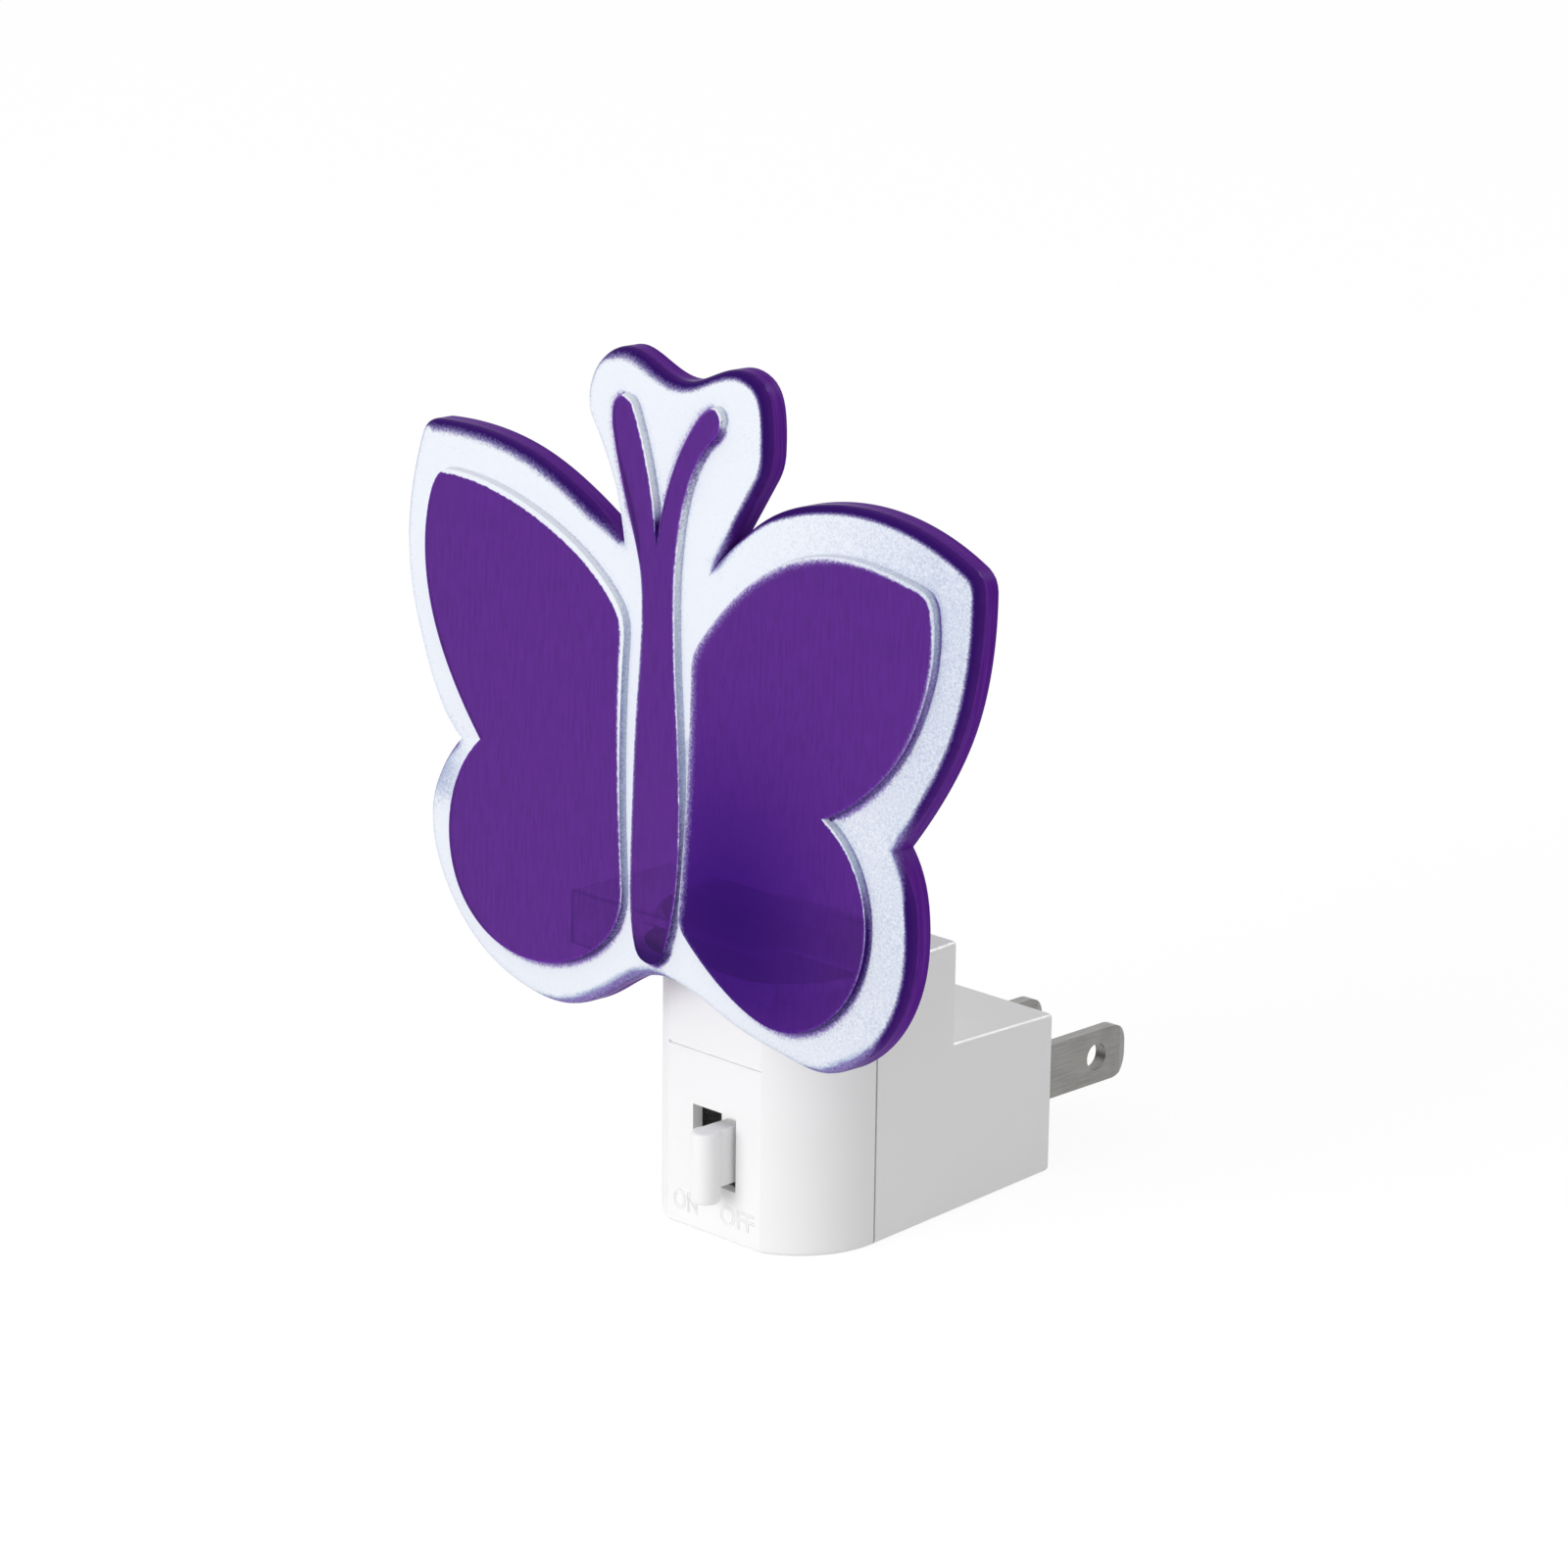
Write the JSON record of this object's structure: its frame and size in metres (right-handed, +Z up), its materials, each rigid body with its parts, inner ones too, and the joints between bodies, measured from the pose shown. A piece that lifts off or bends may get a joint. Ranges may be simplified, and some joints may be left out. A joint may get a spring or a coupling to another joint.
{
  "type": "night light",
  "caption": "Plug-in night light with a butterfly-shaped, edge-lit purple acrylic panel, a white housing with a slide switch, and flat plug blades.",
  "frame": {"origin": "on the plug face, midway between the blades", "axes": "+Y out of the plug face along the blades, +Z up, +X to the right seen from the front; the butterfly faces -Y"},
  "size_m": [0.0845, 0.0688, 0.0977],
  "materials": {
    "white_housing": "satin moulded",
    "white_knob": "satin moulded",
    "purple_acrylic": "polished, see-through, routed areas frosted white",
    "plug_metal": "nickel plated, brushed",
    "inner_plastic": "moulded",
    "screw_steel": "zinc plated",
    "board_laminate": "paper laminate",
    "black_plastic": "moulded",
    "contact_brass": "plain",
    "switch_steel": "tin plated",
    "brown_laminate": "sheet laminate",
    "lamp_lens": "clear epoxy",
    "tinned_lead": "tinned",
    "capacitor_case": "dipped",
    "capacitor_can": "sleeved",
    "diode_black": "moulded",
    "resistor_tan": "lacquered",
    "black_wire": "extruded",
    "white_wire": "extruded"
  },
  "bodies": {
    "housing": {"front_cover": "white_housing", "rear_cover": "white_housing", "butterfly_panel": "purple_acrylic", "panel_foot": "purple_acrylic", "left_blade": "plug_metal", "right_blade": "plug_metal", "blade_retainer": "inner_plastic", "led_holder": "inner_plastic", "retainer_screw": "screw_steel", "board_screws": "screw_steel", "circuit_board": "board_laminate", "switch_terminals": "contact_brass", "switch_frame": "switch_steel", "switch_base": "brown_laminate", "led_lamp": "lamp_lens", "led_leads": "tinned_lead", "film_capacitor": "capacitor_case", "smoothing_capacitor": "capacitor_can", "rectifier_diodes": "diode_black", "bleed_resistor": "resistor_tan", "series_resistor": "resistor_tan", "line_wire": "black_wire", "neutral_wire": "white_wire"},
    "switch": {"switch_knob": "white_knob", "switch_slider": "black_plastic", "contact_bridge": "contact_brass"}
  },
  "joints": [
    {"name": "switch_slide", "type": "slide", "parent": "housing", "child": "switch", "axis": [-1, 0, 0], "range_m": [0, 0.0034]}
  ]
}
